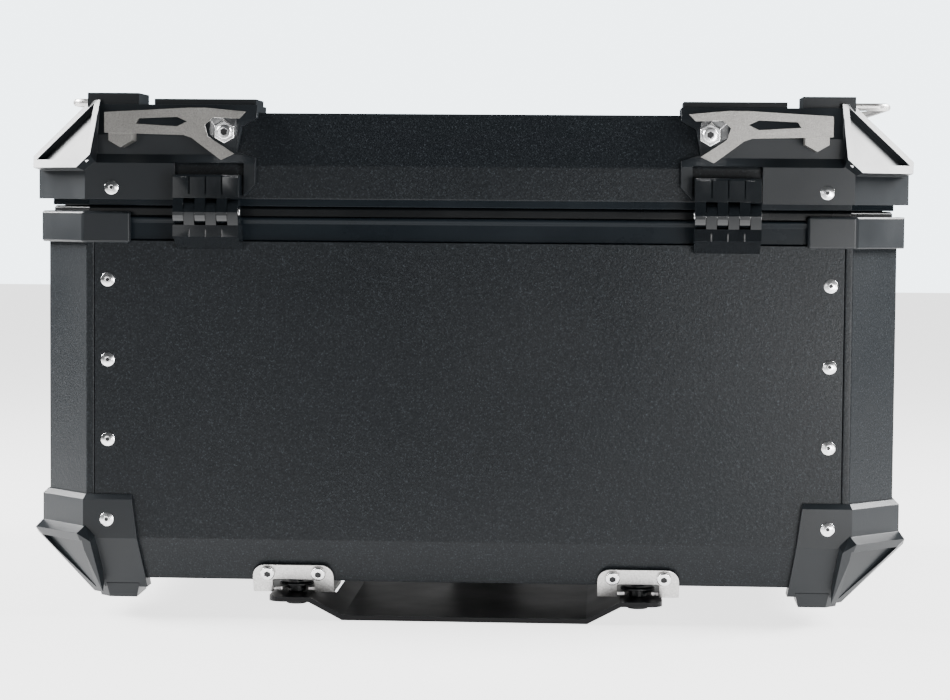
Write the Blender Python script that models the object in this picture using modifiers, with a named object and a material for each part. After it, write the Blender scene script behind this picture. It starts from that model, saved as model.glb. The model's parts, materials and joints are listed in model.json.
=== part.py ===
"""Aluminium motorcycle top case with a hinged lid, corner armour, tie-down brackets and mounting plate.

Units are metres, +Z is up and the hinge side of the case faces -Y. The origin is on the ground
under the middle of the case, which stands on its mounting plate.
"""
import math

import bmesh
import bpy
from mathutils import Matrix, Vector

# Case body
HALF_W = 0.2676              # middle of the case to the outside of a side panel
HALF_D = 0.1950              # middle of the case to the outside of the hinge-side panel
CORNER = 0.0299              # leg of the 45 degree corner of the body
SHEET = 0.0015               # thickness of the body's sheet
BODY_BOTTOM = 0.0230
BODY_CREASE = 0.0500         # below this line the panels lean inwards
BOTTOM_HALF_W = 0.2406       # the sides lean in at 45 degrees under the crease
BOTTOM_HALF_D = 0.1830
BOTTOM_CORNER = 0.0120
PANEL_TOP = 0.2365
SEAM = 0.0050                # strip of corner post that shows beside each panel
GAP = 0.0003                 # air between pieces that touch
TRIM = 0.0001                # how far a trimming solid stands off the faces it leaves alone

# Rim and seal
RIM_TOP = 0.2515
SEAL_TOP = 0.2580

# Lid
LID_BOTTOM = 0.2627
LID_CREASE = 0.2840
LID_TOP = 0.3165
LID_SHEET = 0.0020
LID_TOP_HALF_W = 0.2376
LID_TOP_HALF_D = 0.1840
LID_TOP_CORNER = 0.0100

# Corner armour
ARMOUR_OUT = 0.0040          # how far the body's plastic corners stand off the panels
CAP_BOTTOM = 0.2620
CAP_CREASE = 0.2860
CAP_TOP = 0.3212
CAP_HALF_W = 0.2746
CAP_HALF_D = 0.2002
CAP_INNER_X = 0.1315

FACET_BAND = 0.0055          # the frame round each corner's sunk triangle
FACET_DEPTH = 0.0035
LID_FACET = [(0.2760, 0.1745, 0.2815), (0.2412, 0.2095, 0.2815), (0.2320, 0.2128, 0.2895),
             (0.2302, 0.1895, 0.3240), (0.2375, 0.1822, 0.3240), (0.2768, 0.1692, 0.2890)]
LOW_FACET = [(0.2742, 0.1775, 0.0540), (0.2415, 0.2080, 0.0540), (0.2330, 0.2085, 0.0490),
             (0.2278, 0.1935, 0.0150), (0.2345, 0.1868, 0.0150), (0.2742, 0.1700, 0.0500)]

# Hinges
HINGE_X = 0.1600
HINGE_W = 0.0405
HINGE_Y = -0.2090
HINGE_Z = 0.2545
BARREL_R = 0.0078
HINGE_FACE = -0.2150         # the front of both hinge blocks
PIN_R = 0.0023
KNUCKLES = 6

# Tie-down brackets
STRAP_Y = 0.2105             # inside face of a bracket
STRAP_T = 0.0025
POST_X = 0.1485
POST_Z = 0.3037
POST_FOOT_Y = 0.1958
POST_TIP_Y = 0.2143
POST_WIDE = 0.0096           # radius of the hexagon at its foot
POST_SLIM = 0.0070
POST_SKEW = 0.0035           # how far its foot lies outwards and upwards of its tip
RAIL_R = 0.0025
RAIL_X = 0.2705
RAIL_Z = 0.3265
RAIL_HALF = 0.0750

# Mounting plate, claws and studs
PLATE_T = 0.0030
PLATE_HALF = 0.0760
WING_X = 0.0970
WING_END = 0.1235
WING_TOP = 0.0140
PLATE_REAR = -0.1950
PLATE_FRONT = 0.0900
STUD_X = 0.1083
CLAW_HALF = 0.0256
FRONT_CLAW_HALF = 0.0205
CLAW_T = 0.0025
CLAW_BOTTOM = 0.0155
STUD_REAR_Y = -0.1680
STUD_FRONT_Y = 0.0600

# Latch on the side away from the hinges
LATCH_OUT = 0.2170           # outside face of the lever
LEVER_Y = 0.2080
LEVER_Z = 0.2230
LEVER_SHAFT_R = 0.0020
HOOK_Z = 0.2120
HOOK_PIN_R = 0.0015
LOCK_Z = 0.1900
LOCK_R = 0.0080

# Release bolt under the floor
BOLT_Y = 0.1150
BOLT_HALF = 0.0120
BOLT_LOW = 0.0140
BOLT_HIGH = 0.0200

SIDES = {"left": -1, "right": 1}
ENDS = {"rear": -1, "front": 1}

BLACK_COAT = ("black_coat", (0.018, 0.020, 0.024), 0.45, 0.6)
BLACK_PLASTIC = ("black_plastic", (0.022, 0.024, 0.028), 0.55, 0.0)
GLOSS_BLACK = ("gloss_black", (0.012, 0.012, 0.014), 0.22, 0.0)
STAINLESS = ("stainless", (0.56, 0.55, 0.53), 0.38, 1.0)
RUBBER = ("rubber", (0.010, 0.010, 0.010), 0.8, 0.0)
BLACK_STEEL = ("black_steel", (0.015, 0.015, 0.017), 0.4, 0.5)


# Small tools

def clear_scene():
    for obj in list(bpy.data.objects):
        bpy.data.objects.remove(obj, do_unlink=True)


def new_collection(name):
    collection = bpy.data.collections.new(name)
    bpy.context.scene.collection.children.link(collection)
    return collection


def material(finish):
    name, colour, roughness, metallic = finish
    found = bpy.data.materials.get(name)
    if found:
        return found
    made = bpy.data.materials.new(name)
    made.use_nodes = True
    shader = made.node_tree.nodes["Principled BSDF"]
    shader.inputs["Base Color"].default_value = (*colour, 1.0)
    shader.inputs["Roughness"].default_value = roughness
    shader.inputs["Metallic"].default_value = metallic
    return made


def add_object(name, mesh, finish=None):
    """A part when it has a finish, otherwise a cutter or joined stock."""
    obj = bpy.data.objects.new(name, mesh)
    if finish:
        PARTS.objects.link(obj)
        mesh.materials.append(material(finish))
    else:
        STOCK.objects.link(obj)
        obj.hide_render = True
        obj.display_type = 'WIRE'
    return obj


def slab(name, outlines, low, high, plane="XY", finish=None):
    """A flat outline, with holes if there are more outlines, given its thickness from low to high."""
    curve = bpy.data.curves.new(name, 'CURVE')
    curve.dimensions = '2D'
    curve.fill_mode = 'BOTH'
    curve.extrude = (high - low) / 2
    for outline in outlines:
        spline = curve.splines.new('POLY')
        spline.points.add(len(outline) - 1)
        for point, (u, v) in zip(spline.points, outline):
            point.co = (u, v, 0.0, 1.0)
        spline.use_cyclic_u = True
    guide = bpy.data.objects.new(name + "_curve", curve)
    STOCK.objects.link(guide)
    middle = (low + high) / 2
    if plane == "XZ":
        guide.location = (0, middle, 0)
        guide.rotation_euler = (math.pi / 2, 0, 0)
    elif plane == "YZ":
        guide.location = (middle, 0, 0)
        guide.rotation_euler = (math.pi / 2, 0, math.pi / 2)
    else:
        guide.location = (0, 0, middle)
    return meshed(guide, name, finish)


def meshed(guide, name, finish):
    """Turns a curve object into a welded mesh object in the same place."""
    bpy.context.view_layer.update()
    evaluated = guide.evaluated_get(bpy.context.evaluated_depsgraph_get())
    mesh = bpy.data.meshes.new_from_object(evaluated)
    shape = bmesh.new()
    shape.from_mesh(mesh)
    bmesh.ops.remove_doubles(shape, verts=shape.verts, dist=0.00001)
    bmesh.ops.recalc_face_normals(shape, faces=shape.faces)
    shape.to_mesh(mesh)
    shape.free()
    mesh.name = name
    mesh.materials.clear()
    obj = add_object(name, mesh, finish)
    obj.matrix_world = guide.matrix_world.copy()
    bpy.data.objects.remove(guide, do_unlink=True)
    return obj


def hull(name, points, finish=None):
    """The convex solid through a few corner points."""
    shape = bmesh.new()
    for point in points:
        shape.verts.new(point)
    made = bmesh.ops.convex_hull(shape, input=shape.verts)
    spare = {v for v in made["geom_interior"] + made["geom_unused"] if isinstance(v, bmesh.types.BMVert)}
    bmesh.ops.delete(shape, geom=list(spare), context='VERTS')
    bmesh.ops.dissolve_limit(shape, angle_limit=math.radians(0.2), verts=shape.verts, edges=shape.edges)
    bmesh.ops.recalc_face_normals(shape, faces=shape.faces)
    mesh = bpy.data.meshes.new(name)
    shape.to_mesh(mesh)
    shape.free()
    return add_object(name, mesh, finish)


def box(name, low, high, finish=None):
    shape = bmesh.new()
    bmesh.ops.create_cube(shape, size=1.0)
    size = Vector(high) - Vector(low)
    bmesh.ops.scale(shape, vec=size, verts=shape.verts)
    mesh = bpy.data.meshes.new(name)
    shape.to_mesh(mesh)
    shape.free()
    obj = add_object(name, mesh, finish)
    obj.location = (Vector(low) + Vector(high)) / 2
    return obj


def corner_box(name, sx, sy, low, high, finish=None):
    """A box given in the +X +Y corner and moved to corner sx, sy."""
    xs = sorted((sx * low[0], sx * high[0]))
    ys = sorted((sy * low[1], sy * high[1]))
    return box(name, (xs[0], ys[0], low[2]), (xs[1], ys[1], high[2]), finish)


def rod(name, centre, radius, length, axis, sides=24, finish=None):
    """A cylinder or hexagon bar about centre, along a world axis."""
    shape = bmesh.new()
    bmesh.ops.create_cone(shape, cap_ends=True, segments=sides, radius1=radius, radius2=radius, depth=length)
    mesh = bpy.data.meshes.new(name)
    shape.to_mesh(mesh)
    shape.free()
    mesh.shade_smooth()
    mesh.set_sharp_from_angle(angle=math.radians(35))
    obj = add_object(name, mesh, finish)
    obj.location = centre
    obj.rotation_euler = {"X": (0, math.pi / 2, 0), "Y": (-math.pi / 2, 0, 0), "Z": (0, 0, 0)}[axis]
    return obj


def turned(name, profile, place, finish=None, steps=24):
    """A turned solid: the profile runs down its outer side from the axis back to the axis."""
    mesh = bpy.data.meshes.new(name)
    points = [(radius, 0.0, height) for radius, height in profile]
    mesh.from_pydata(points, [(i, i + 1) for i in range(len(points) - 1)], [])
    obj = add_object(name, mesh, finish)
    obj.location = place
    screw = obj.modifiers.new("turn", 'SCREW')
    screw.steps = steps
    screw.render_steps = steps
    screw.use_merge_vertices = True
    screw.merge_threshold = 0.00001
    return obj


def combine(obj, other, operation):
    modifier = obj.modifiers.new(operation.lower(), 'BOOLEAN')
    modifier.operation = operation
    modifier.solver = 'EXACT'
    modifier.object = other
    return obj


def cut(obj, *others):
    for other in others:
        combine(obj, other, 'DIFFERENCE')
    return obj


def join(obj, *others):
    for other in others:
        combine(obj, other, 'UNION')
    return obj


def soften(obj, width, angle=40):
    bevel = obj.modifiers.new("edges", 'BEVEL')
    bevel.width = width
    bevel.segments = 1
    bevel.limit_method = 'ANGLE'
    bevel.angle_limit = math.radians(angle)
    return obj


def octagon(half_w, half_d, corner):
    """The plan of the case: a rectangle with 45 degree corners, anticlockwise from the front right."""
    points = []
    for sx, sy in ((1, 1), (-1, 1), (-1, -1), (1, -1)):
        pair = [(sx * half_w, sy * (half_d - corner)), (sx * (half_w - corner), sy * half_d)]
        points += pair if sx * sy > 0 else pair[::-1]
    return points


def offset_plan(out):
    """The body's plan moved outwards, or inwards when out is negative."""
    return octagon(HALF_W + out, HALF_D + out, CORNER + out * (2 - math.sqrt(2)))


def body_plan(out, z):
    """The body's plan at a height, moved outwards by out; it leans in under the crease."""
    fall = (BODY_CREASE - z) / (BODY_CREASE - BODY_BOTTOM)
    half_w = HALF_W + (BOTTOM_HALF_W - HALF_W) * fall
    half_d = HALF_D + (BOTTOM_HALF_D - HALF_D) * fall
    corner = CORNER + (BOTTOM_CORNER - CORNER) * fall
    return octagon(half_w + out, half_d + out, corner + out * (2 - math.sqrt(2)))


def rounded(low, high, radius):
    """A rectangle with round corners."""
    points = []
    for index, (sx, sy) in enumerate(((1, 1), (-1, 1), (-1, -1), (1, -1))):
        u = (high[0] if sx > 0 else low[0]) - sx * radius
        v = (high[1] if sy > 0 else low[1]) - sy * radius
        for step in range(7):
            turn = math.pi / 2 * (index + step / 6)
            points.append((u + radius * math.cos(turn), v + radius * math.sin(turn)))
    return points


def crossing(a, b, c, d):
    """Where the line a b meets the line c d, in a plane."""
    along, across = b - a, d - c
    span = along.x * across.y - along.y * across.x
    part = ((c.x - a.x) * across.y - (c.y - a.y) * across.x) / span
    return a + along * part


def stack(name, levels, finish=None):
    """The solid through plans at several heights."""
    return hull(name, [(x, y, z) for plan, z in levels for x, y in plan], finish)


def ring(name, section, finish):
    """A frame that follows the body's plan; section is a closed list of (inset, height)."""
    shape = bmesh.new()
    loops = []
    for inset, z in section:
        loops.append([shape.verts.new((x, y, z)) for x, y in offset_plan(-inset)])
    for loop, after in zip(loops, loops[1:] + loops[:1]):
        for i in range(len(loop)):
            j = (i + 1) % len(loop)
            shape.faces.new((loop[i], loop[j], after[j], after[i]))
    bmesh.ops.recalc_face_normals(shape, faces=shape.faces)
    mesh = bpy.data.meshes.new(name)
    shape.to_mesh(mesh)
    shape.free()
    return add_object(name, mesh, finish)


def bent_strip(path, thickness):
    """The closed outline of a sheet of even thickness that follows path, on its left side."""
    inner = []
    for i, point in enumerate(path):
        here = Vector(point)
        before = (here - Vector(path[i - 1])).normalized() if i else None
        after = (Vector(path[i + 1]) - here).normalized() if i + 1 < len(path) else None
        first = before or after
        last = after or before
        normal = (Vector((-first.y, first.x)) + Vector((-last.y, last.x))).normalized()
        stretch = thickness / normal.dot(Vector((-last.y, last.x)))
        inner.append(tuple(here + normal * stretch))
    return list(path) + inner[::-1]


def flip(points, sx=1, sy=1):
    return [(sx * point[0], sy * point[1], *point[2:]) for point in points]


def gather(empty_name, location, *objects):
    """Parents the pieces of one moving body to an empty that stands on its joint."""
    empty = bpy.data.objects.new(empty_name, None)
    PARTS.objects.link(empty)
    empty.location = location
    for obj in objects:
        bpy.context.view_layer.update()
        world = obj.matrix_world.copy()
        obj.parent = empty
        obj.matrix_parent_inverse = Matrix.Translation(-Vector(location))
        obj.matrix_world = world
    return empty


# Body

def make_panels():
    lean = [(HALF_D, PANEL_TOP), (HALF_D, BODY_CREASE), (BOTTOM_HALF_D, BODY_BOTTOM)]
    reach = HALF_W - CORNER - SEAM
    for end, sy in ENDS.items():
        outline = [(sy * y, z) for y, z in bent_strip(lean, -SHEET)]
        panel = slab(end + "_panel", [outline], -reach, reach, "YZ", BLACK_COAT)
        trim = stack(end + "_trim", [(offset_plan(TRIM), PANEL_TOP + GAP), (offset_plan(TRIM), BODY_CREASE),
                                     (body_plan(TRIM, BODY_BOTTOM), BODY_BOTTOM - TRIM)])
        combine(panel, trim, 'INTERSECT')
    lean = [(HALF_W, PANEL_TOP), (HALF_W, BODY_CREASE), (BOTTOM_HALF_W, BODY_BOTTOM)]
    reach = HALF_D - CORNER - SEAM
    for side, sx in SIDES.items():
        outline = [(sx * x, z) for x, z in bent_strip(lean, -SHEET)]
        slab(side + "_panel", [outline], -reach, reach, "XZ", BLACK_COAT)


def make_floor():
    plan = octagon(BOTTOM_HALF_W - SHEET, BOTTOM_HALF_D - SHEET - 2 * GAP, BOTTOM_CORNER)
    slab("floor_panel", [plan], BODY_BOTTOM, BODY_BOTTOM + 0.002, "XY", BLACK_COAT)


def make_corner_post(name, sx, sy):
    """A rolled corner: its 45 degree face shows and its two flanges lie behind the panels."""
    wall = 0.0025
    behind = SHEET + GAP
    flange = 0.0330
    edge_x = HALF_W - CORNER
    edge_y = HALF_D - CORNER
    outline = [
        (edge_x - SEAM + GAP, HALF_D), (edge_x, HALF_D), (HALF_W, edge_y), (HALF_W, edge_y - SEAM + GAP),
        (HALF_W - behind, edge_y - SEAM + GAP), (HALF_W - behind, edge_y - flange),
        (HALF_W - behind - wall, edge_y - flange), (HALF_W - behind - wall, edge_y - wall / 2),
        (edge_x - wall / 2, HALF_D - behind - wall), (edge_x - flange, HALF_D - behind - wall),
        (edge_x - flange, HALF_D - behind), (edge_x - SEAM + GAP, HALF_D - behind),
    ]
    slab(name, [flip(outline, sx, sy)], BODY_CREASE + 0.002, PANEL_TOP - GAP, "XY", BLACK_COAT)


def make_upper_trim(name, sx, sy):
    """The plastic corner that wraps the post under the lid."""
    outer = offset_plan(ARMOUR_OUT + 0.0005)[:2]
    inner = offset_plan(GAP)[:2]
    end_x = 0.2094
    end_y = HALF_D - (HALF_W - end_x)
    outline = [(outer[0][0], end_y), outer[0], outer[1], (end_x, outer[1][1]),
               (end_x, inner[1][1]), inner[1], inner[0], (inner[0][0], end_y)]
    trim = slab(name, [flip(outline, sx, sy)], 0.2350, 0.2546, "XY", BLACK_PLASTIC)
    soften(trim, 0.0012)


def facet_frame(name, sx, sy, outline, root_z, core_z):
    """The flared triangular armour face on a corner, and the cutter for its sunk panel."""
    root = [(0.2716, 0.1650, root_z), (0.2380, 0.1985, root_z)]
    core = [(0.2300, 0.1550, core_z), (0.2300, 0.1880, core_z), (0.2600, 0.1560, core_z)]
    frame = hull(name, flip(outline + root + core, sx, sy))
    base, inner, tip_in, tip_out, outer = [Vector(outline[i]) for i in (0, 2, 3, 4, 5)]
    along = (outer - inner).normalized()
    face = along.cross(tip_in - inner).normalized()
    rise = face.cross(along)
    flat = [Vector(((point - base).dot(along), (point - base).dot(rise)))
            for point in (inner, tip_in, tip_out, outer, base, Vector(outline[1]))]
    centre = (flat[0] + flat[1] + flat[2] + flat[3]) / 4
    lines = []
    for a, b in ((flat[0], flat[1]), (flat[2], flat[3]), (flat[4], flat[5])):
        across = Vector((a.y - b.y, b.x - a.x)).normalized()
        if across.dot(centre - a) < 0:
            across = -across
        lines.append((a + across * FACET_BAND, b + across * FACET_BAND))
    corners = []
    for first, second in ((0, 1), (1, 2), (2, 0)):
        spot = crossing(*lines[first], *lines[second])
        for deep in (-FACET_DEPTH, FACET_DEPTH):
            corners.append(tuple(base + along * spot.x + rise * spot.y + face * deep))
    return frame, hull(name + "_sunk", flip(corners, sx, sy))


def make_protector(name, sx, sy):
    """A bottom corner: a shell round the body's corner with a flared facet and a foot."""
    top_z = 0.0775
    low_z = 0.0175
    chamfer = 0.0030
    skin = stack(name + "_skin", [(offset_plan(ARMOUR_OUT - chamfer), top_z),
                                  (offset_plan(ARMOUR_OUT), top_z - chamfer),
                                  (offset_plan(ARMOUR_OUT), BODY_CREASE),
                                  (body_plan(ARMOUR_OUT, low_z), low_z)])
    room = stack(name + "_room", [(offset_plan(GAP), top_z + 0.01), (offset_plan(GAP), BODY_CREASE),
                                  (body_plan(GAP, BODY_BOTTOM), BODY_BOTTOM - GAP)])
    top_x = 0.2090
    low_x = 0.2010
    shift = HALF_W - HALF_D
    reach = 0.30
    plan = [(top_x, top_x - 0.02), (top_x, reach), (reach, reach), (reach, top_x - shift),
            (0.25, top_x - shift)]
    base = [(low_x, low_x - 0.03), (low_x, reach), (reach, reach), (reach, low_x - shift),
            (0.25, low_x - shift)]
    points = [(x, y, top_z) for x, y in plan] + [(x, y, low_z - 0.0005) for x, y in base]
    shell = hull(name, flip(points, sx, sy), BLACK_PLASTIC)
    combine(shell, skin, 'INTERSECT')
    facet, pocket = facet_frame(name + "_facet", sx, sy, LOW_FACET, 0.0580, 0.0540)
    foot_top = [(0.2060, 0.1860), (0.2270, 0.1860), (0.2340, 0.1790), (0.2340, 0.1500), (0.2060, 0.1500)]
    foot_low = [(0.2080, 0.1840), (0.2250, 0.1840), (0.2320, 0.1770), (0.2320, 0.1520), (0.2080, 0.1520)]
    foot = hull(name + "_foot", flip([(x, y, 0.0200) for x, y in foot_top]
                                     + [(x, y, 0.0110) for x, y in foot_low], sx, sy))
    join(shell, facet, foot)
    cut(shell, room, pocket)


def make_rim():
    frame_in = 0.0025
    section = [(frame_in, PANEL_TOP + GAP), (frame_in, 0.2480), (0.0010, 0.2490), (0.0010, RIM_TOP),
               (0.0100, RIM_TOP), (0.0100, 0.2220), (0.0075, 0.2220), (0.0075, PANEL_TOP + GAP)]
    ring("rim_frame", section, BLACK_PLASTIC)
    ring("rim_seal", [(0.0030, RIM_TOP + GAP), (0.0030, SEAL_TOP - 0.001), (0.0040, SEAL_TOP),
                      (0.0070, SEAL_TOP), (0.0080, SEAL_TOP - 0.001), (0.0080, RIM_TOP + GAP)], RUBBER)


# Lid

def lid_levels(out):
    top = octagon(LID_TOP_HALF_W + out, LID_TOP_HALF_D + out, LID_TOP_CORNER)
    return [(offset_plan(out), LID_CREASE), (top, LID_TOP + out)]


def make_lid_shell():
    shell = stack("lid_shell", [(offset_plan(0), LID_BOTTOM)] + lid_levels(0), BLACK_COAT)
    room = stack("lid_room", [(offset_plan(-LID_SHEET), LID_BOTTOM - 0.01)] + lid_levels(-LID_SHEET))
    cut(shell, room)
    return shell


def make_lid_frame():
    """The lid's inner frame, with a skirt that hangs inside the seal."""
    return ring("lid_frame", [(0.0023, 0.2583), (0.0023, 0.2720), (0.0110, 0.2720), (0.0110, 0.2540),
                              (0.0092, 0.2540), (0.0092, 0.2583)], BLACK_PLASTIC)


def make_lid_cap(name, sx, sy):
    """A lid corner: two arms over the lid's edges, a flared facet, a hinge pocket and a bracket recess."""
    corner = 0.0369
    skin = stack(name + "_skin", [(octagon(CAP_HALF_W, CAP_HALF_D, corner), CAP_BOTTOM),
                                  (octagon(CAP_HALF_W, CAP_HALF_D, corner), CAP_CREASE),
                                  (octagon(0.2406, 0.1900, LID_TOP_CORNER), CAP_TOP)])
    room = stack(name + "_room", [(offset_plan(GAP), CAP_BOTTOM - 0.01)] + lid_levels(GAP))
    arm_x = 0.1480
    arm_y = 0.1180
    outer = 0.2900
    plan = [(CAP_INNER_X, arm_x), (0.2050, arm_x), (0.2050, arm_y), (outer, arm_y), (outer, outer),
            (CAP_INNER_X, outer)]
    cap = slab(name, [flip(plan, sx, sy)], CAP_BOTTOM, CAP_TOP, "XY", BLACK_PLASTIC)
    combine(cap, skin, 'INTERSECT')
    facet, pocket = facet_frame(name + "_facet", sx, sy, LID_FACET, 0.2795, 0.2815)
    block = corner_box(name + "_block", sx, sy, (0.2065, 0.1500, 0.3195), (0.2390, 0.1850, 0.3285))
    pad = corner_box(name + "_pad", sx, sy, (0.1330, 0.1500, 0.3190), (0.1970, 0.1840, 0.3250))
    join(cap, facet, block, pad)
    edge = [(0.120, 0.335), (CAP_INNER_X, 0.335), (CAP_INNER_X, 0.3130), (0.1410, 0.3073), (0.1435, 0.2918),
            (0.1315, 0.2880), (0.1305, 0.2730), (0.1390, 0.2640), (0.1390, 0.2550), (0.120, 0.2550)]
    sides = sorted((sy * 0.14, sy * 0.21))
    edge_cutter = slab(name + "_edge", [flip(edge, sx)], sides[0], sides[1], "XZ")
    hollow = [(0.2003, 0.2845), (0.1955, 0.2900), (0.1955, 0.3400), (0.2200, 0.3400), (0.2200, 0.2845)]
    inner, outside = sorted((sx * 0.1200, sx * 0.2310))
    recess = slab(name + "_recess", [flip(hollow, sy)], inner, outside, "YZ")
    cut(cap, room, edge_cutter, recess, pocket)
    if sy < 0:
        hinge_pocket = corner_box(name + "_hinge", sx, sy, (0.1385, 0.1800, 0.2500), (0.1815, 0.2150, 0.2850))
        cut(cap, hinge_pocket)
    return cap


def make_strap(name, sx, sy):
    """A forked tie-down bracket of flat stainless sheet with an arrow slot and its outer stand-off."""
    outline = [(0.2230, 0.3029), (0.2230, 0.3155), (0.1700, 0.3185), (0.1600, 0.3185), (0.1355, 0.3163),
               (0.1395, 0.3120), (0.1560, 0.3125), (0.1610, 0.3080), (0.1590, 0.3010), (0.1428, 0.2904),
               (0.1509, 0.2866), (0.1690, 0.3000), (0.1740, 0.3017)]
    slot = [(0.1717, 0.3100), (0.1780, 0.3128), (0.2015, 0.3118), (0.2035, 0.3085), (0.1780, 0.3070)]
    low, high = sorted((sy * STRAP_Y, sy * (STRAP_Y + STRAP_T)))
    strap = slab(name, [flip(outline, sx), flip(slot, sx)], low, high, "XZ", STAINLESS)
    post = rod(name + "_outer", (sx * 0.2135, sy * 0.2033, 0.3025), 0.0085, 0.0150, "Y", sides=6)
    join(strap, post)
    return strap


def make_post(name, sx, sy):
    """The skewed hexagonal stand-off in the bracket's fork, wider at the cap than at its tip."""
    points = []
    for radius, x, y, z in ((POST_WIDE, POST_X + POST_SKEW, POST_FOOT_Y, POST_Z + POST_SKEW),
                            (POST_SLIM, POST_X, POST_TIP_Y, POST_Z)):
        for step in range(6):
            turn = math.radians(90 + 60 * step)
            points.append((x + radius * math.cos(turn), y, z + radius * math.sin(turn)))
    return hull(name, flip(points, sx, sy), STAINLESS)


def make_rail(name, sx):
    """A bent rod beside the lid, its two feet standing on the lid's top."""
    foot_x = 0.2260
    bend = 0.0080
    corners = [(foot_x, LID_TOP + GAP), (foot_x, RAIL_Z), (RAIL_X, RAIL_Z)]
    path = [(corners[0][0], -RAIL_HALF, corners[0][1])]
    for step in range(5):
        turn = math.pi / 2 * step / 4
        path.append((foot_x + 0.006 * (1 - math.cos(turn)), -RAIL_HALF,
                     RAIL_Z - 0.006 * (1 - math.sin(turn))))
    for step in range(5):
        turn = math.pi / 2 * step / 4
        path.append((RAIL_X - bend * (1 - math.sin(turn)), -RAIL_HALF + bend * (1 - math.cos(turn)), RAIL_Z))
    path += [(x, -y, z) for x, y, z in reversed(path)]
    curve = bpy.data.curves.new(name, 'CURVE')
    curve.dimensions = '3D'
    curve.bevel_depth = RAIL_R
    curve.bevel_resolution = 3
    curve.use_fill_caps = True
    spline = curve.splines.new('POLY')
    spline.points.add(len(path) - 1)
    for point, place in zip(spline.points, flip(path, sx)):
        point.co = (*place, 1.0)
    guide = bpy.data.objects.new(name + "_curve", curve)
    STOCK.objects.link(guide)
    return meshed(guide, name, STAINLESS)


# Hinges

def knuckle(name, x, width, root):
    """One hinge knuckle: a barrel with an arm reaching back to the leaf's root points (y, z)."""
    points = []
    for step in range(24):
        turn = math.tau * step / 24
        points.append((HINGE_Y + BARREL_R * math.cos(turn), HINGE_Z + BARREL_R * math.sin(turn)))
    solid = [(place, y, z) for place in (x - width / 2, x + width / 2) for y, z in points + root]
    return hull(name, solid)


def make_hinge(side, sx):
    """A six-knuckle hinge: a full-width block on the body, another on the lid, and the pin."""
    low_x = sx * HINGE_X - HINGE_W / 2
    high_x = low_x + HINGE_W
    pitch = HINGE_W / KNUCKLES
    back = -HALF_D - GAP
    body_block = [(back, 0.2315), (-0.1975, 0.2315), (HINGE_FACE, 0.2395), (HINGE_FACE, 0.2466),
                  (back, 0.2466)]
    lid_block = [(back, 0.2632), (HINGE_FACE, 0.2632), (HINGE_FACE, 0.2760), (-0.2135, 0.2775),
                 (back, 0.2775)]
    body_leaf = slab("hinge_leaf_body_" + side, [body_block], low_x, high_x, "YZ", GLOSS_BLACK)
    lid_leaf = slab("hinge_leaf_lid_" + side, [lid_block], low_x, high_x, "YZ", GLOSS_BLACK)
    body_root = [(HINGE_FACE + 0.0004, 0.2450), (-0.2010, 0.2450)]
    lid_root = [(HINGE_FACE + 0.0004, 0.2645), (-0.2010, 0.2645)]
    for index in range(KNUCKLES):
        x = low_x + pitch * (index + 0.5)
        upper = index % 2 == 0
        leaf, root = (lid_leaf, lid_root) if upper else (body_leaf, body_root)
        join(leaf, knuckle(f"knuckle_{side}_{index}", x, pitch - GAP, root))
    bore = rod("bore_" + side, (sx * HINGE_X, HINGE_Y, HINGE_Z), PIN_R + GAP, 0.060, "X")
    cut(body_leaf, bore)
    cut(lid_leaf, bore)
    pin = rod("hinge_pin_" + side, (sx * HINGE_X, HINGE_Y, HINGE_Z), PIN_R, HINGE_W + 0.0006, "X",
              finish=STAINLESS)
    return lid_leaf, pin


# Mounting

def make_claw(name, x, slot_y, rear):
    """A claw of bent stainless sheet; a stud's neck slides into its slot from the hinge side."""
    slope = (HALF_D - BOTTOM_HALF_D) / (BODY_CREASE - BODY_BOTTOM)
    stand = (GAP + CLAW_T) * math.hypot(1, slope)
    if rear:
        top = 0.0337
        path = [(-HALF_D + (BODY_CREASE - top) * slope - stand, top),
                (-HALF_D + (BODY_CREASE - CLAW_BOTTOM) * slope - stand, CLAW_BOTTOM),
                (slot_y + 0.0260, CLAW_BOTTOM)]
    else:
        path = [(slot_y - 0.0220, CLAW_BOTTOM), (slot_y + 0.0150, CLAW_BOTTOM),
                (slot_y + 0.0185, 0.0202), (slot_y + 0.0330, 0.0202)]
    half = CLAW_HALF if rear else FRONT_CLAW_HALF
    claw = slab(name, [bent_strip(path, CLAW_T)], x - half, x + half, "YZ", STAINLESS)
    mouth = slot_y - 0.0600
    neck = 0.0068
    wide = 0.0130
    throat = slot_y - 0.0050
    slot = [(x - wide, mouth), (x + wide, mouth), (x + wide, slot_y - 0.0160), (x + neck, throat)]
    for step in range(9):
        turn = math.pi * step / 8
        slot.append((x + neck * math.cos(turn), slot_y + neck * math.sin(turn)))
    slot += [(x - neck, throat), (x - wide, slot_y - 0.0160)]
    slot_cutter = slab(name + "_slot", [slot], CLAW_BOTTOM - 0.004, CLAW_BOTTOM + 0.0035, "XY")
    notch = box(name + "_notch", (x - wide, mouth, CLAW_BOTTOM - 0.004), (x + wide, slot_y - 0.0080, 0.0238))
    cut(claw, slot_cutter, notch)
    limits = rounded((x - CLAW_HALF, -0.02), (x + CLAW_HALF, 0.0337), 0.0080)
    return combine(claw, slab(name + "_limits", [limits], -0.30, 0.30, "XZ"), 'INTERSECT')


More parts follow.
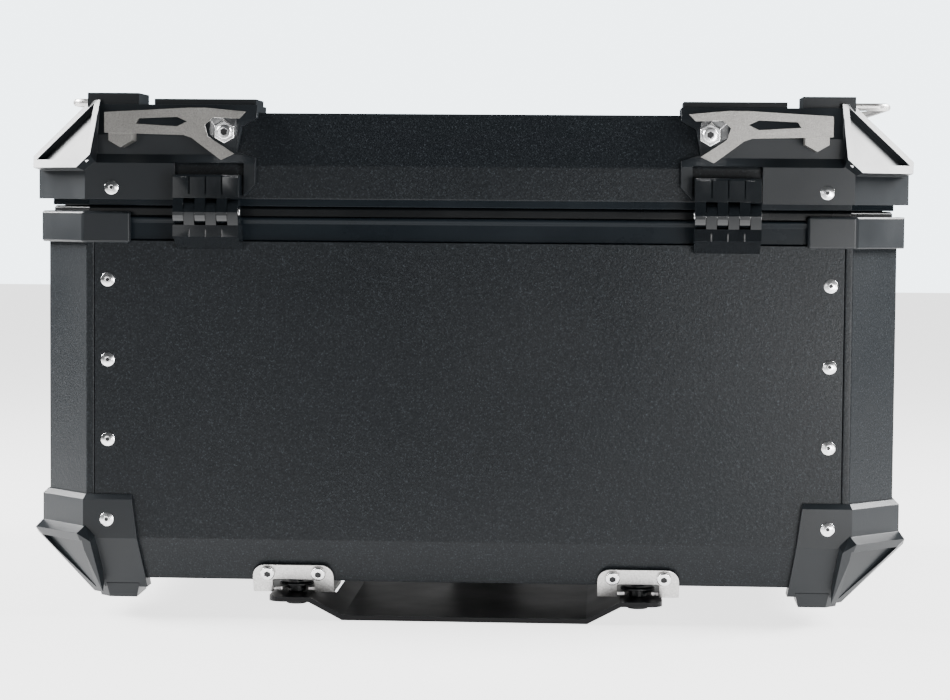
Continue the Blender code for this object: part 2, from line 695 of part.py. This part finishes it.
def make_base_plate():
    path = [(-WING_END, WING_TOP), (-WING_X, WING_TOP), (-PLATE_HALF, PLATE_T), (PLATE_HALF, PLATE_T),
            (WING_X, WING_TOP), (WING_END, WING_TOP)]
    plate = slab("base_plate", [bent_strip(path, -PLATE_T)], PLATE_REAR, PLATE_FRONT, "XZ", BLACK_STEEL)
    limits = rounded((-WING_END, PLATE_REAR), (WING_END, PLATE_FRONT), 0.0090)
    combine(plate, slab("plate_limits", [limits], -0.01, 0.03, "XY"), 'INTERSECT')
    for index, x in enumerate((-STUD_X, STUD_X)):
        gap_low = STUD_REAR_Y + 0.032
        gap_high = STUD_FRONT_Y - 0.032
        cut(plate, box(f"wing_gap_{index}", (x - 0.022, gap_low, 0.0), (x + 0.022, gap_high, 0.03)))
        for y in (STUD_REAR_Y, STUD_FRONT_Y):
            cut(plate, rod(f"stud_hole_{index}", (x, y, WING_TOP), 0.0043, 0.012, "Z", sides=16))
    return plate


def make_stud(name, x, y):
    """A mushroom stud through the plate's wing, with its nut below."""
    neck_r = 0.0056
    profile = [(0.0, 0.0208), (0.0090, 0.0208), (0.0110, 0.0199), (0.0110, 0.0187), (neck_r, 0.0186),
               (neck_r, WING_TOP + GAP), (0.0040, WING_TOP + GAP), (0.0040, WING_TOP - PLATE_T - GAP),
               (0.0065, WING_TOP - PLATE_T - GAP), (0.0065, 0.0065), (0.0, 0.0065)]
    return turned(name, profile, (x, y, 0.0), RUBBER, steps=20)


def make_release_housing():
    """The guide under the floor for the bolt that locks the case to its plate."""
    housing = box("release_housing", (-0.0240, BOLT_Y - 0.0300, 0.0110),
                  (0.0240, BOLT_Y + 0.0300, BODY_BOTTOM - GAP), BLACK_PLASTIC)
    cut(housing, box("release_way", (-BOLT_HALF - GAP, BOLT_Y - 0.0400, BOLT_LOW - GAP),
                     (BOLT_HALF + GAP, BOLT_Y + 0.0400, BOLT_HIGH + GAP)))


def make_release_bolt():
    """The sprung bolt and the finger grip on its outer end."""
    bolt = box("release_bolt", (-BOLT_HALF, BOLT_Y - 0.0330, BOLT_LOW),
               (BOLT_HALF, BOLT_Y + 0.0450, BOLT_HIGH), STAINLESS)
    grip = box("release_grip", (-0.0200, BOLT_Y + 0.0400, 0.0120), (0.0200, BOLT_Y + 0.0480, 0.0220))
    return join(bolt, grip)


# Latch

def make_latch_housing():
    """The latch's back plate on the body, with a cheek on each side for the lever's shaft."""
    face = HALF_D + GAP
    housing = box("latch_housing", (-0.0335, face, 0.1680), (0.0335, face + 0.0040, 0.2340), GLOSS_BLACK)
    cheek = [(face + 0.0030, 0.1800), (face + 0.0030, 0.2330), (0.2130, 0.2330), (0.2130, 0.2150),
             (0.2060, 0.1900)]
    for side, sx in SIDES.items():
        inner, outer = sorted((sx * 0.0300, sx * 0.0335))
        join(housing, slab("latch_cheek_" + side, [cheek], inner, outer, "YZ"))
    cut(housing, rod("lever_bore", (0, LEVER_Y, LEVER_Z), LEVER_SHAFT_R + GAP, 0.0800, "X", sides=16))


def make_lever():
    """The lever: a thick plate on a cross shaft, open at its top middle where the hook passes."""
    outline = [(0.2112, 0.1720), (LATCH_OUT, 0.1750), (LATCH_OUT, 0.2270), (0.2140, 0.2300), (0.2060, 0.2300),
               (0.2060, 0.2170), (0.2112, 0.2140)]
    lever = slab("latch_lever", [outline], -0.0285, 0.0285, "YZ", GLOSS_BLACK)
    ear = [(0.2045, 0.2080), (0.2120, 0.2080), (0.2120, 0.2200), (0.2045, 0.2200)]
    for side, sx in SIDES.items():
        inner, outer = sorted((sx * 0.0180, sx * 0.0220))
        join(lever, slab("lever_ear_" + side, [ear], inner, outer, "YZ"))
    hook_room = box("hook_room", (-0.0162, 0.2000, 0.2060), (0.0162, 0.2250, 0.2400))
    hook_bore = rod("hook_bore", (0, LEVER_Y, HOOK_Z), HOOK_PIN_R + GAP, 0.0800, "X", sides=16)
    lock_bore = rod("lock_bore", (0, 0.2140, LOCK_Z), LOCK_R + GAP, 0.0300, "Y")
    cut(lever, hook_room, hook_bore, lock_bore)
    join(lever, rod("lever_shaft", (0, LEVER_Y, LEVER_Z), LEVER_SHAFT_R, 0.0660, "X", sides=16))
    return lever


def make_hook():
    """The hook plate: it turns on its own cross pin in the lever and its nose faces the lid's catch."""
    outline = [(0.2050, HOOK_Z - 0.0030), (0.2110, HOOK_Z - 0.0030), (0.2130, HOOK_Z + 0.0030),
               (0.2130, 0.2340), (0.2118, 0.2400), (0.2118, 0.2740), (0.2070, 0.2740), (0.2070, 0.2710),
               (0.2096, 0.2700),
               (0.2096, 0.2395), (0.2106, 0.2335), (0.2106, HOOK_Z + 0.0045), (0.2050, HOOK_Z + 0.0030)]
    hook = slab("latch_hook", [outline], -0.0155, 0.0155, "YZ", STAINLESS)
    return join(hook, rod("hook_pin", (0, LEVER_Y, HOOK_Z), HOOK_PIN_R, 0.0430, "X", sides=16))


def make_lock():
    barrel = rod("lock_barrel", (0, 0.2140, LOCK_Z), LOCK_R, 0.0052, "Y", finish=STAINLESS)
    return cut(barrel, box("key_slot", (-0.0008, 0.2150, LOCK_Z - 0.0035), (0.0008, 0.2250, LOCK_Z + 0.0035)))


def make_catch():
    """The lid's catch, a lipped block behind the hook's nose."""
    face = HALF_D + GAP
    outline = [(face, 0.2650), (0.2066, 0.2650), (0.2066, 0.2700), (0.2030, 0.2730), (face + 0.0030, 0.2810),
               (face, 0.2810)]
    return slab("lid_catch", [outline], -0.0200, 0.0200, "YZ", STAINLESS)


# Assembly

clear_scene()
PARTS = new_collection("top_case")
STOCK = new_collection("cutters")

make_panels()
make_floor()
make_rim()
lid_pieces = [make_lid_shell(), make_lid_frame(), make_catch()]
plate_pieces = [make_base_plate()]
for end, sy in ENDS.items():
    for side, sx in SIDES.items():
        place = f"{end}_{side}"
        make_corner_post("corner_post_" + place, sx, sy)
        make_upper_trim("upper_trim_" + place, sx, sy)
        make_protector("corner_protector_" + place, sx, sy)
        lid_pieces.append(make_lid_cap("lid_cap_" + place, sx, sy))
        lid_pieces.append(make_strap("tie_strap_" + place, sx, sy))
        lid_pieces.append(make_post("strap_post_" + place, sx, sy))
        stud_y = STUD_REAR_Y if end == "rear" else STUD_FRONT_Y
        make_claw("claw_" + place, sx * STUD_X, stud_y, end == "rear")
        plate_pieces.append(make_stud("stud_" + place, sx * STUD_X, stud_y))
for side, sx in SIDES.items():
    lid_pieces.append(make_rail("side_rail_" + side, sx))
    lid_pieces += make_hinge(side, sx)

make_release_housing()
make_latch_housing()
gather("lid_joint", (0, HINGE_Y, HINGE_Z), *lid_pieces)
gather("plate_joint", (0, PLATE_REAR, 0), *plate_pieces)
gather("release_joint", (0, BOLT_Y, 0.0170), make_release_bolt())
gather("lever_joint", (0, LEVER_Y, LEVER_Z), make_lever())
gather("hook_joint", (0, LEVER_Y, HOOK_Z), make_hook())
gather("lock_joint", (0, 0.2140, LOCK_Z), make_lock())
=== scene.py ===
import json
import math
import bpy
from mathutils import Euler, Matrix, Vector


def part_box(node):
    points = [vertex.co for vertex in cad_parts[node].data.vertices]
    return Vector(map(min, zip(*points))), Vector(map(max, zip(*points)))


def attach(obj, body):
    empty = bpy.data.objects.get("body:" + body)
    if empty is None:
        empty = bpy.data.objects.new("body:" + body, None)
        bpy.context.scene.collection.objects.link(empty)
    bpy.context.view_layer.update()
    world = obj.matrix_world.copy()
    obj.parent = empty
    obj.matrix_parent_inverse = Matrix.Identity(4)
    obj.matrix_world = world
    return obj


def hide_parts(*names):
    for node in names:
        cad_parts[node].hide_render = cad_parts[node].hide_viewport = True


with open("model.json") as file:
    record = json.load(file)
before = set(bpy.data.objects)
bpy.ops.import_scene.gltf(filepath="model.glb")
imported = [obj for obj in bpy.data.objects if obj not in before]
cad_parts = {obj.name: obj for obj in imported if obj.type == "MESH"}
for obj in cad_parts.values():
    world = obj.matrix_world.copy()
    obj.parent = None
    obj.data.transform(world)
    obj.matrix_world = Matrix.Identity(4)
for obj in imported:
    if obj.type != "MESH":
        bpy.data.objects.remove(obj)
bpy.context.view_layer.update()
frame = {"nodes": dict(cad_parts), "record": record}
print("frame loaded")

sides = {"left": -1, "right": 1}
ends = {"rear": -1, "front": 1}

# camera at the hinge side, level with the gap under the lid
camera = {"place": (0.0866, -1.7669, 0.2616), "pitch": -3.318, "turn": 2.954, "roll": 0.458, "lens": 96.29}


def addCamera():
    data = bpy.data.cameras.new("camera")
    data.lens = camera["lens"]
    data.sensor_width = 36
    data.clip_end = 50
    seen = bpy.data.objects.new("camera", data)
    bpy.context.scene.collection.objects.link(seen)
    aim = Euler((math.radians(90 + camera["pitch"]), 0, math.radians(camera["turn"])))
    turned = aim.to_matrix() @ Matrix.Rotation(math.radians(camera["roll"]), 3, "Z")
    seen.rotation_euler = turned.to_euler()
    seen.location = camera["place"]
    bpy.context.scene.camera = seen


# materials: each one returns a Principled material with its pattern in Object coordinates
def startMaterial(name, colour, roughness, metallic=0.0):
    made = bpy.data.materials.new(name)
    made.use_nodes = True
    tree = made.node_tree
    shader = tree.nodes["Principled BSDF"]
    shader.inputs["Base Color"].default_value = (*colour, 1)
    shader.inputs["Roughness"].default_value = roughness
    shader.inputs["Metallic"].default_value = metallic
    coords = tree.nodes.new("ShaderNodeTexCoord")
    return made, tree, shader, coords.outputs["Object"]


def addNoise(tree, coords, scale, detail=3.0, rough=0.6):
    noise = tree.nodes.new("ShaderNodeTexNoise")
    noise.inputs["Scale"].default_value = scale
    noise.inputs["Detail"].default_value = detail
    noise.inputs["Roughness"].default_value = rough
    tree.links.new(coords, noise.inputs["Vector"])
    return noise.outputs["Fac"]


def addRamp(tree, value, stops):
    ramp = tree.nodes.new("ShaderNodeValToRGB")
    while len(ramp.color_ramp.elements) < len(stops):
        ramp.color_ramp.elements.new(0.5)
    for element, (place, colour) in zip(ramp.color_ramp.elements, stops):
        element.position = place
        element.color = (*colour, 1)
    tree.links.new(value, ramp.inputs["Fac"])
    return ramp.outputs["Color"]


def addRange(tree, value, low, high, start=0.3, end=0.7):
    mapped = tree.nodes.new("ShaderNodeMapRange")
    mapped.inputs["From Min"].default_value = start
    mapped.inputs["From Max"].default_value = end
    mapped.inputs["To Min"].default_value = low
    mapped.inputs["To Max"].default_value = high
    tree.links.new(value, mapped.inputs["Value"])
    return mapped.outputs["Result"]


def addBump(tree, shader, height, strength, distance, before=None):
    bump = tree.nodes.new("ShaderNodeBump")
    bump.inputs["Strength"].default_value = strength
    bump.inputs["Distance"].default_value = distance
    tree.links.new(height, bump.inputs["Height"])
    if before:
        tree.links.new(before, bump.inputs["Normal"])
    tree.links.new(bump.outputs["Normal"], shader.inputs["Normal"])
    return bump.outputs["Normal"]


def makeCoat(name, dark, light, roughness, shine=0.15):  # powder coat: fine orange peel with paler specks
    made, tree, shader, coords = startMaterial(name, dark, roughness)
    shader.inputs["Specular IOR Level"].default_value = shine
    grain = addNoise(tree, coords, 1100, 2.0, 0.7)
    cloud = addNoise(tree, coords, 9, 4.0)
    colour = addRamp(tree, grain, [(0.35, dark), (0.60, light), (0.72, [c * 3.2 for c in light])])
    tree.links.new(colour, shader.inputs["Base Color"])
    tree.links.new(addRange(tree, cloud, roughness - 0.03, roughness + 0.05), shader.inputs["Roughness"])
    peel = addBump(tree, shader, addNoise(tree, coords, 420, 2.0), 0.35, 0.0003)
    addBump(tree, shader, grain, 0.55, 0.00015, peel)
    return made


def makePlastic(name, colour, roughness, grainScale=1500, strength=0.2, shine=0.3):
    made, tree, shader, coords = startMaterial(name, colour, roughness)
    shader.inputs["Specular IOR Level"].default_value = shine
    grain = addNoise(tree, coords, grainScale, 2.0)
    cloud = addNoise(tree, coords, 14, 5.0)
    shade = addRamp(tree, cloud, [(0.3, [c * 0.85 for c in colour]), (0.7, [c * 1.15 for c in colour])])
    tree.links.new(shade, shader.inputs["Base Color"])
    tree.links.new(addRange(tree, cloud, roughness - 0.06, roughness + 0.06), shader.inputs["Roughness"])
    addBump(tree, shader, grain, strength, 0.0001)
    return made


def makeBlasted(name, colour, roughness, grainScale, strength):  # metal with a sand blasted or satin skin
    made, tree, shader, coords = startMaterial(name, colour, roughness, 1.0)
    grain = addNoise(tree, coords, grainScale, 3.0, 0.7)
    cloud = addNoise(tree, coords, 30, 4.0)
    low = [c * 0.72 for c in colour]
    high = [min(1, c * 1.2) for c in colour]
    shade = addRamp(tree, grain, [(0.3, low), (0.7, high)])
    tree.links.new(shade, shader.inputs["Base Color"])
    tree.links.new(addRange(tree, cloud, roughness - 0.07, roughness + 0.07), shader.inputs["Roughness"])
    addBump(tree, shader, grain, strength, 0.0002)
    return made


finishes = {
    "black_coat": makeCoat("powderCoat", (0.003, 0.004, 0.005), (0.008, 0.0095, 0.011), 0.34),
    "black_plastic": makePlastic("mouldedBlack", (0.006, 0.0075, 0.009), 0.36, 900, 0.35, 0.24),
    "gloss_black": makePlastic("glossBlack", (0.004, 0.005, 0.006), 0.14, 300, 0.04, 0.5),
    "stainless": makeBlasted("satinSteel", (0.56, 0.55, 0.54), 0.38, 900, 0.25),
    "bright_fastener": makeBlasted("brightSteel", (0.86, 0.86, 0.87), 0.24, 500, 0.08),
    "rubber": makePlastic("rubberBlack", (0.002, 0.0025, 0.003), 0.30, 900, 0.1, 0.2),
    "black_steel": makePlastic("blackSteel", (0.0015, 0.0015, 0.002), 0.34, 700, 0.2, 0.12),
}
grittySteel = makeBlasted("grittySteel", (0.20, 0.195, 0.185), 0.44, 1500, 0.8)
# black frame plastic, darker than the moulded black: partly its own colour, partly painted shade of the
# recess round the opening
frameBlackPaintedShade = makePlastic("frameBlackPaintedShade", (0.004, 0.006, 0.008), 0.30, 900, 0.2, 0.10)
# near black for the floors of screw sockets and rivet holes: painted shade
holeShadeDark = makePlastic("holeShadeDark", (0.006, 0.006, 0.007), 0.5, 600, 0.1)
print("materials made")


def deselectAll():
    if bpy.context.object and bpy.context.object.mode != "OBJECT":
        bpy.ops.object.mode_set(mode="OBJECT")
    bpy.ops.object.select_all(action="DESELECT")


def pick(piece):
    deselectAll()
    piece.select_set(True)
    bpy.context.view_layer.objects.active = piece


def applyModifiers(piece):
    pick(piece)
    for modifier in list(piece.modifiers):
        bpy.ops.object.modifier_apply(modifier=modifier.name)


def addBevel(piece, width, segments, angle):
    bevel = piece.modifiers.new("bevel", "BEVEL")
    bevel.width = width
    bevel.segments = segments
    bevel.limit_method = "ANGLE"
    bevel.angle_limit = math.radians(angle)
    bevel.miter_outer = "MITER_ARC"


def smooth(piece, angle):
    pick(piece)
    bpy.ops.object.shade_smooth_by_angle(angle=math.radians(angle))


def flatten(piece):  # keeps the wide faces flat beside their rounded edges
    weighted = piece.modifiers.new("weighted", "WEIGHTED_NORMAL")
    weighted.weight = 100
    weighted.keep_sharp = True
    applyModifiers(piece)


def bodyOf(node):
    for body, members in frame["record"]["behaviour"]["bodies"].items():
        if node in members:
            return body


def slotOf(node):
    for part in frame["record"]["subparts"]:
        if part["node"] == node:
            return part["material_slot"]


def finishPiece(piece, body, slot, material=None, nodes=()):
    piece.data.materials.clear()
    piece.data.materials.append(material or finishes[slot])
    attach(piece, body)
    if nodes:
        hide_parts(*nodes)


def roundedCopy(node, width, segments, angle, material):
    # the CAD shape, welded into clean faces, with its edges rounded
    piece = frame["nodes"][node].copy()
    piece.data = frame["nodes"][node].data.copy()
    piece.name = node + "_skin"
    for key in list(piece.keys()):
        del piece[key]
    piece.parent = None
    bpy.context.scene.collection.objects.link(piece)
    pick(piece)
    bpy.ops.object.mode_set(mode="EDIT")
    bpy.ops.mesh.select_all(action="SELECT")
    bpy.ops.mesh.remove_doubles(threshold=0.00002)
    bpy.ops.mesh.dissolve_limited(angle_limit=math.radians(0.6))
    bpy.ops.object.mode_set(mode="OBJECT")
    if width:
        addBevel(piece, width, segments, angle)
        applyModifiers(piece)
    smooth(piece, 28)
    flatten(piece)
    finishPiece(piece, bodyOf(node), slotOf(node), material, [node])
    return piece


def addBlock(name, low, high):
    bpy.ops.mesh.primitive_cube_add(size=1)
    block = bpy.context.object
    block.name = name
    size = [b - a for a, b in zip(low, high)]
    middle = [(a + b) / 2 for a, b in zip(low, high)]
    block.data.transform(Matrix.Translation(middle) @ Matrix.Diagonal((*size, 1)))
    return block


def addBar(name, radius, length, facets, middle):
    bpy.ops.mesh.primitive_cylinder_add(vertices=facets, radius=radius, depth=length)
    bar = bpy.context.object
    bar.name = name
    bar.data.transform(Matrix.Translation(middle))
    return bar


def cutBy(piece, cutters):
    for cutter in cutters:
        modifier = piece.modifiers.new("cut", "BOOLEAN")
        modifier.operation = "DIFFERENCE"
        modifier.solver = "EXACT"
        modifier.object = cutter
    applyModifiers(piece)
    for cutter in cutters:
        bpy.data.objects.remove(cutter)


edges = {  # how far each CAD piece's edges are rounded
    "rear_panel": 0.0004, "front_panel": 0.0004, "left_panel": 0.0004, "right_panel": 0.0004,
    "floor_panel": 0.0004, "rim_frame": 0.0009, "rim_seal": 0.0020, "lid_shell": 0.0016, "lid_frame": 0.0005,
    "corner_post_": 0.0016, "upper_trim_": 0.0008, "corner_protector_": 0.0012, "lid_cap_": 0.0009,
    "tie_strap_": 0.0003, "strap_post_": 0.0005, "claw_": 0.0005, "stud_": 0.0003,
    "hinge_leaf_body_": 0.0004, "hinge_leaf_lid_": 0.0004, "hinge_pin_": 0.0002,
    "base_plate": 0.0008, "latch_housing": 0.0007, "latch_lever": 0.0008, "latch_hook": 0.0003,
    "lid_catch": 0.0004, "lock_barrel": 0.0003, "release_bolt": 0.0004, "release_housing": 0.0005,
    "side_rail_": 0.0,
}


def ownMaterial(node):
    # the rim and lid frames take the darker plastic, whose extra darkness is painted shade of their recess
    if node in ("rim_frame", "lid_frame"):
        return frameBlackPaintedShade
    return grittySteel if node.startswith("tie_strap_") else None


def roundEverything():
    for node in sorted(frame["nodes"]):
        for start, width in edges.items():
            if node == start or (start.endswith("_") and node.startswith(start)):
                roundedCopy(node, width, 3 if width > 0.001 else 2, 14, ownMaterial(node))
                break
        else:
            print("left as it is:", node)


roundEverything()
print("edges rounded")

grooves = {"width": 0.0009, "depth": 0.0008, "places": (-0.0101, 0.0, 0.0101), "face": -0.2150,
           "heights": {"body": (0.2300, 0.2440), "lid": (0.2655, 0.2800)}}


def grooveHinges():  # three upright grooves in the face of each hinge block
    half = grooves["width"] / 2
    for side in sides:
        for leaf, (bottom, top) in grooves["heights"].items():
            node = f"hinge_leaf_{leaf}_{side}"
            piece = bpy.data.objects[node + "_skin"]
            low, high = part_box(node)
            middle = (low.x + high.x) / 2
            cutBy(piece, [addBlock("groove", (middle + x - half, grooves["face"] - 0.003, bottom),
                                   (middle + x + half, grooves["face"] + grooves["depth"], top))
                          for x in grooves["places"]])
            smooth(piece, 28)
            flatten(piece)


grooveHinges()
print("hinges grooved")

rivet = {"radius": 0.0044, "rim": 0.0009, "dome": 0.0009, "bore": 0.0012, "facets": 28,
         "rows": (0.212, 0.162, 0.112), "foot": 0.062, "armour": 0.004,
         "column": 0.2244, "sideColumn": 0.1518, "cap": (0.2210, 0.2002, 0.2693)}


def modelRivet():
    bpy.ops.mesh.primitive_cylinder_add(vertices=rivet["facets"], radius=rivet["radius"], depth=rivet["rim"],
                                        location=(0, 0, rivet["rim"] / 2))
    piece = bpy.context.object
    bpy.ops.object.mode_set(mode="EDIT")
    bpy.ops.mesh.select_all(action="DESELECT")
    bpy.ops.object.mode_set(mode="OBJECT")
    for face in piece.data.polygons:
        face.select = face.normal.z > 0.9
    bpy.ops.object.mode_set(mode="EDIT")
    bpy.ops.mesh.select_mode(type="FACE")
    for share in (0.30, 0.30, 0.20):  # three steps up to the crown of the dome
        bpy.ops.mesh.inset(thickness=rivet["radius"] * share * 0.72)
        bpy.ops.transform.translate(value=(0, 0, rivet["dome"] * share))
    bpy.ops.object.mode_set(mode="OBJECT")
    addBevel(piece, 0.0002, 2, 50)
    applyModifiers(piece)
    cutBy(piece, [addBar("bore", rivet["bore"], 0.0024, 16, (0, 0, 0.0021))])
    smooth(piece, 40)
    return piece


def modelMandrel():  # the broken stem in a blind rivet's hole, coloured near black as painted shade of the hole
    return addBar("mandrel", rivet["bore"] - 0.00005, 0.0004, 12, (0, 0, 0.0011))


def placeCopy(source, name, place, facing, body, slot, material=None):
    # a copy with its own mesh, its +Z turned to the way it faces and its place put in its mesh
    piece = source.copy()
    piece.data = source.data.copy()
    piece.name = name
    bpy.context.scene.collection.objects.link(piece)
    turn = Vector((0, 0, 1)).rotation_difference(Vector(facing)).to_matrix().to_4x4()
    piece.data.transform(Matrix.Translation(place) @ turn)
    piece.matrix_world = Matrix.Identity(4)
    finishPiece(piece, body, slot, material)
    return piece


def addRivets():
    source = modelRivet()
    stem = modelMandrel()
    panelY = -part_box("rear_panel")[0].y
    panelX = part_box("right_panel")[1].x
    places = []  # name, place, facing, body
    for end, sy in ends.items():
        for side, sx in sides.items():
            across = sx * rivet["column"]
            along = sy * rivet["sideColumn"]
            for index, z in enumerate(rivet["rows"]):
                places.append((f"{end}_{side}_{index}", (across, sy * panelY, z), (0, sy, 0), "case"))
                places.append((f"{side}_{end}_{index}", (sx * panelX, along, z), (sx, 0, 0), "case"))
            places.append((f"{end}_{side}_foot", (across, sy * (panelY + rivet["armour"]), rivet["foot"]),
                           (0, sy, 0), "case"))
            places.append((f"{side}_{end}_foot", (sx * (panelX + rivet["armour"]), along, rivet["foot"]),
                           (sx, 0, 0), "case"))
            x, y, z = rivet["cap"]
            places.append((f"{end}_{side}_cap", (sx * x, sy * y, z), (0, sy, 0), "lid"))
    for name, place, facing, body in places:
        placeCopy(source, "rivet_" + name, place, facing, body, "bright_fastener")
        # each stem takes the near black material as painted shade of the rivet hole
        placeCopy(stem, "stem_" + name, place, facing, body, "bright_fastener", holeShadeDark)
    bpy.data.objects.remove(source)
    bpy.data.objects.remove(stem)


addRivets()
print("rivets placed")

screw = {"radius": 0.0046, "height": 0.0022, "socket": 0.0023, "depth": 0.0013,
         "studX": 0.1083, "studY": {"rear": -0.168, "front": 0.060}, "studTop": 0.0207,
         "clawSpread": 0.016, "claw": (-0.18900, 0.0285), "clawFacing": (0, -0.914, -0.406),
         "post": (0.1485, 0.21425, 0.3037)}


def modelScrew():  # a button head screw with a hexagon socket
    piece = addBar("screwHead", screw["radius"], screw["height"], 32, (0, 0, screw["height"] / 2))
    addBevel(piece, 0.0009, 3, 50)
    applyModifiers(piece)
    cutBy(piece, [addBar("socket", screw["socket"], screw["depth"] * 2, 6, (0, 0, screw["height"]))])
    smooth(piece, 30)
    return piece


def modelSocketShade():  # a near black disc at the bottom of the screw's socket: painted shade in the socket
    bottom = screw["height"] - screw["depth"]
    return addBar("socketShade", screw["socket"] - 0.0001, 0.0003, 6, (0, 0, bottom + 0.0002))


def screwPlaces():  # name, place, facing, body
    places = []
    for side, sx in sides.items():
        for spot, step in (("inner", -sx), ("outer", sx)):
            x = sx * screw["studX"] + step * screw["clawSpread"]
            places.append((f"claw_{side}_{spot}", (x, *screw["claw"]), screw["clawFacing"], "case"))
        for end, sy in ends.items():
            x, y, z = screw["post"]
            places.append((f"post_{end}_{side}", (sx * x, sy * y, z), (0, sy, 0), "lid"))
            places.append((f"stud_{end}_{side}", (sx * screw["studX"], screw["studY"][end], screw["studTop"]),
                           (0, 0, 1), "plate"))
    return places


def addScrews():
    head = modelScrew()
    socketShade = modelSocketShade()
    for name, place, facing, body in screwPlaces():
        placeCopy(head, "screw_" + name, place, facing, body, "bright_fastener")
        # a near black disc in each socket as painted shade
        placeCopy(socketShade, "plug_" + name, place, facing, body, "bright_fastener", holeShadeDark)
    bpy.data.objects.remove(head)
    bpy.data.objects.remove(socketShade)


addScrews()
print("screws placed")

# the camera sees an even pale floor and sky; only the floor under and behind the object lights it,
# out to about half a metre on each side
stage = {"size": 12.0, "floor": (0.35, 0.35, 0.35), "glow": 2.4, "nearGlow": 0.02,
         "fade": (-0.75, -0.42), "sideFade": (0.55, 1.0),
         "sky": (0.85, 0.94, 1), "skyLight": 0.05, "skySeen": 5.0}


def addMath(tree, operation, *values):
    node = tree.nodes.new("ShaderNodeMath")
    node.operation = operation
    for socket, value in zip(node.inputs, values):
        if isinstance(value, (int, float)):
            socket.default_value = value
        else:
            tree.links.new(value, socket)
    return node.outputs[0]


def addStage():
    bpy.ops.mesh.primitive_plane_add(size=stage["size"], location=(0, 0, -0.0005))
    floor = bpy.context.object
    floor.name = "floor"
    made, tree, shader, coords = startMaterial("floorWhite", stage["floor"], 0.6)
    tree.links.new(addRange(tree, addNoise(tree, coords, 3), 0.55, 0.65), shader.inputs["Roughness"])
    shader.inputs["Emission Color"].default_value = (1, 1, 1, 1)
    place = tree.nodes.new("ShaderNodeSeparateXYZ")
    tree.links.new(coords, place.inputs["Vector"])
    glow = addRange(tree, place.outputs["Y"], stage["nearGlow"], stage["glow"], *stage["fade"])
    side = addMath(tree, "ABSOLUTE", place.outputs["X"])
    wide = addMath(tree, "MULTIPLY_ADD", place.outputs["Y"], -0.25, side)
    kept = addRange(tree, wide, 1.0, 0.05, *stage["sideFade"])
    path = tree.nodes.new("ShaderNodeLightPath")
    seen = addMath(tree, "MULTIPLY", path.outputs["Is Camera Ray"], stage["glow"])
    unseen = addMath(tree, "SUBTRACT", 1.0, path.outputs["Is Camera Ray"])
    total = addMath(tree, "MULTIPLY_ADD", unseen, addMath(tree, "MULTIPLY", glow, kept), seen)
    tree.links.new(total, shader.inputs["Emission Strength"])
    floor.data.materials.append(made)


lights = {  # name: place, aim, width, height, watts
    "left": ((-1.35, 0.0, 0.95), (-0.25, 0, 0.28), 0.9, 0.7, 150),
    "right": ((1.35, 0.05, 0.95), (0.25, 0, 0.28), 0.9, 0.7, 150),
    "frontRight": ((0.92, -1.9, 0.14), (0.2, -0.2, 0.10), 0.8, 0.28, 22),
    "low": ((0.62, -1.10, 0.01), (0.62, -1.10, 1.0), 0.7, 0.7, 30),
    "frontLeft": ((-0.75, -1.9, 0.30), (-0.2, -0.2, 0.2), 0.5, 0.35, 2.5),
}


def addLights():
    for name, (place, aim, width, height, watts) in lights.items():
        data = bpy.data.lights.new(name, "AREA")
        data.shape = "RECTANGLE"
        data.size = width
        data.size_y = height
        data.energy = watts
        lamp = bpy.data.objects.new(name, data)
        lamp.location = place
        lamp.rotation_euler = (Vector(aim) - Vector(place)).to_track_quat("-Z", "Y").to_euler()
        lamp.visible_camera = False
        bpy.context.scene.collection.objects.link(lamp)
    world = bpy.data.worlds.new("studio")
    world.use_nodes = True
    tree = world.node_tree
    tree.nodes["Background"].inputs["Color"].default_value = (*stage["sky"], 1)
    path = tree.nodes.new("ShaderNodeLightPath")
    level = addRange(tree, path.outputs["Is Camera Ray"], stage["skyLight"], stage["skySeen"])
    tree.links.new(level, tree.nodes["Background"].inputs["Strength"])
    bpy.context.scene.world = world


addStage()
addLights()
addCamera()
print("stage, lights and camera set")
